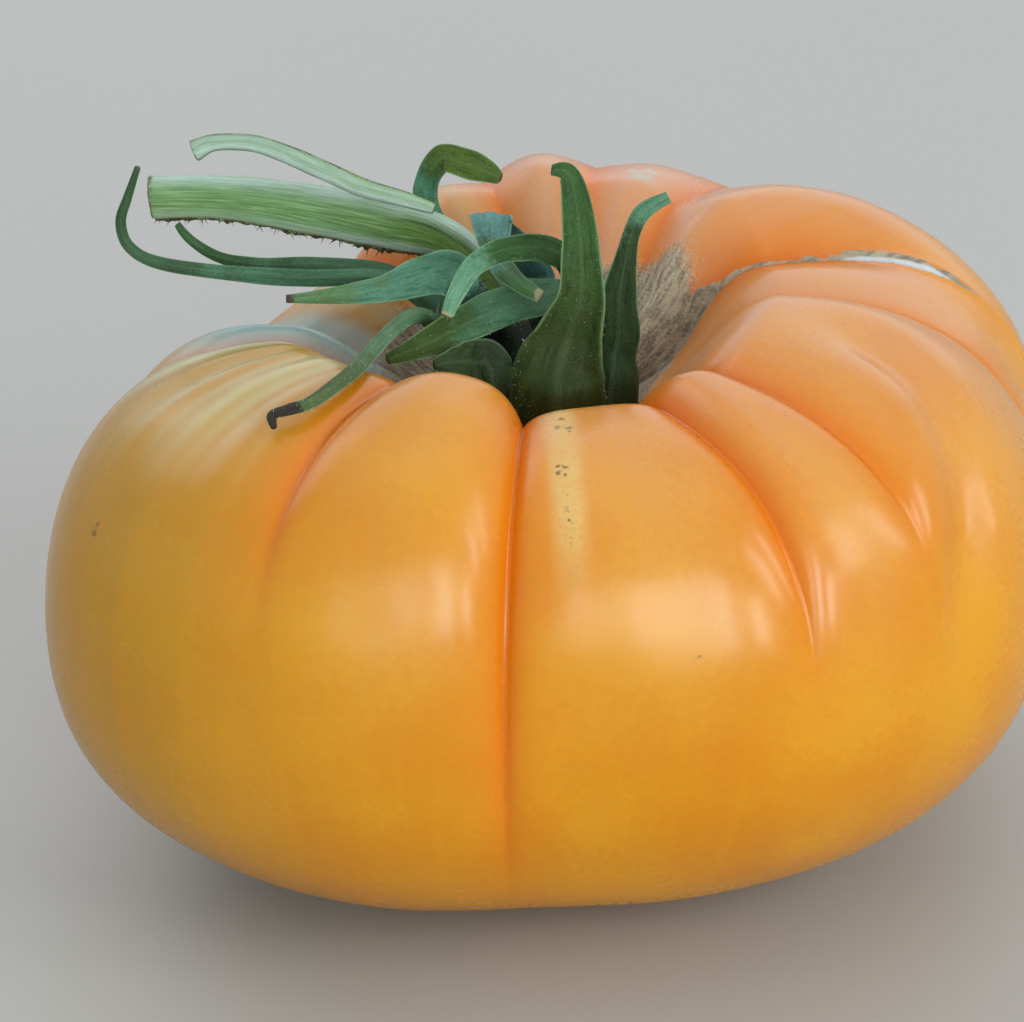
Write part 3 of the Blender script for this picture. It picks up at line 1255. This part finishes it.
# %% [markdown]
# ## Hairs grown with Geometry Nodes
# A tomato's green parts are covered in fine hairs, far too many to place by hand. This node tree does it:
# it scatters points over a surface, as densely as a mask on the surface says, stands a small cone on each
# point along the surface's normal, leans and scales each one at random, and turns the lot into one mesh.
# The seed is an input, so that every run grows the same hairs.


# %% Hair tree
def make_hair_tree():
    inputs = (
        ("Surface", "NodeSocketGeometry", None),
        ("Mask", "NodeSocketString", "hairy"),
        ("Hairs per mm2", "NodeSocketFloat", 1.0),
        ("Length mm", "NodeSocketFloat", 0.6),
        ("Thickness mm", "NodeSocketFloat", 0.08),
        ("Lean", "NodeSocketFloat", 0.5),
        ("Seed", "NodeSocketInt", 0),
        ("Material", "NodeSocketMaterial", None),
    )
    outputs = (("Hairs", "NodeSocketGeometry"),)
    tree, given, result = new_group("surface_hairs", inputs, outputs, "GeometryNodeTree")
    mask = add(tree, "GeometryNodeInputNamedAttribute", {"Name": given["Mask"]}, data_type="FLOAT")
    per_square_metre = times(tree, given["Hairs per mm2"], 1 / MM**2)
    density = times(tree, mask.outputs["Attribute"], per_square_metre)
    scatter = {"Mesh": given["Surface"], "Density": density, "Seed": given["Seed"]}
    points = add(tree, "GeometryNodeDistributePointsOnFaces", scatter)
    length = times(tree, given["Length mm"], MM)
    thickness = times(tree, given["Thickness mm"], MM)
    shape = {"Vertices": 3, "Radius Top": 0.0, "Radius Bottom": thickness, "Depth": length}
    cone = add(tree, "GeometryNodeMeshCone", shape)
    sideways = times(tree, given["Lean"], -1.0)
    least = add(tree, "ShaderNodeCombineXYZ", {"X": sideways, "Y": sideways, "Z": 0.0})
    most = add(tree, "ShaderNodeCombineXYZ", {"X": given["Lean"], "Y": given["Lean"], "Z": 6.28})
    turn = add(tree, "FunctionNodeRandomValue", data_type="FLOAT_VECTOR")
    tree.links.new(least.outputs[0], turn.inputs[0])
    tree.links.new(most.outputs[0], turn.inputs[1])
    tree.links.new(given["Seed"], turn.inputs["Seed"])
    turned = add(tree, "FunctionNodeEulerToRotation", {0: turn.outputs[0]})
    stand = add(
        tree,
        "FunctionNodeRotateRotation",
        {0: points.outputs["Rotation"], 1: turned.outputs[0]},
        rotation_space="LOCAL",
    )
    size = add(tree, "FunctionNodeRandomValue", {2: 0.4, 3: 1.0}, data_type="FLOAT")
    grown = add(
        tree,
        "GeometryNodeInstanceOnPoints",
        {
            "Points": points.outputs["Points"],
            "Instance": cone.outputs["Mesh"],
            "Rotation": stand.outputs[0],
            "Scale": size.outputs[1],
        },
    )
    real = add(tree, "GeometryNodeRealizeInstances", {0: grown.outputs[0]})
    painted = {"Geometry": real.outputs[0], "Material": given["Material"]}
    finished = add(tree, "GeometryNodeSetMaterial", painted)
    tree.links.new(finished.outputs[0], result["Hairs"])
    return tree


HAIR_TREE = make_hair_tree()


def grow_hairs(name, surface, material, slot, **values):
    """A plain mesh of the hairs that the tree grows on this surface, with these values for its inputs."""
    hairs = new_object(name, surface.data)
    modifier = hairs.modifiers.new("grow", "NODES")
    modifier.node_group = HAIR_TREE
    titles = {title.lower().replace(" ", "_"): title for title in HAIR_TREE.interface.items_tree.keys()}
    for key, value in {**values, "material": material}.items():
        modifier[HAIR_TREE.interface.items_tree[titles[key]].identifier] = value
    depsgraph = bpy.context.evaluated_depsgraph_get()
    mesh = bpy.data.meshes.new_from_object(hairs.evaluated_get(depsgraph), depsgraph=depsgraph)
    hairs.modifiers.clear()
    hairs.data = mesh
    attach(hairs, "root")
    return hairs


def plain_material(name, colour, roughness):
    material, _, shader = new_material(name)
    shader.inputs["Base Color"].default_value = colour
    shader.inputs["Roughness"].default_value = roughness
    return material


print("hair tree nodes:", len(HAIR_TREE.nodes))

# %% Hairs and bristles
PALE_HAIR = plain_material("pale_hair", srgb(158, 184, 146), 0.5)
DARK_BRISTLE = plain_material("dark_bristle", srgb(58, 54, 32), 0.7)
fine = {"hairs_per_mm2": 1.3, "length_mm": 0.55, "thickness_mm": 0.035, "lean": 0.6}
coarse = {"mask": "bristly", "hairs_per_mm2": 1.4, "length_mm": 1.3, "thickness_mm": 0.11, "lean": 0.8}

hair_pieces = [
    grow_hairs("hairs_on_" + name, sepal, PALE_HAIR, "calyx", seed=index, **fine)
    for index, (name, sepal) in enumerate(zip(SEPALS, sepals))
]
hair_pieces.append(grow_hairs("hairs_on_stalk", stalk, PALE_HAIR, "stalk", seed=41, **fine))
hair_pieces.append(grow_hairs("hairs_on_strand", strand, PALE_HAIR, "stalk", seed=42, **fine))
hair_pieces.append(grow_hairs("bristles_on_stalk", stalk, DARK_BRISTLE, "stalk", seed=43, **coarse))
for piece in hair_pieces:
    print(piece.name, "faces:", len(piece.data.polygons))
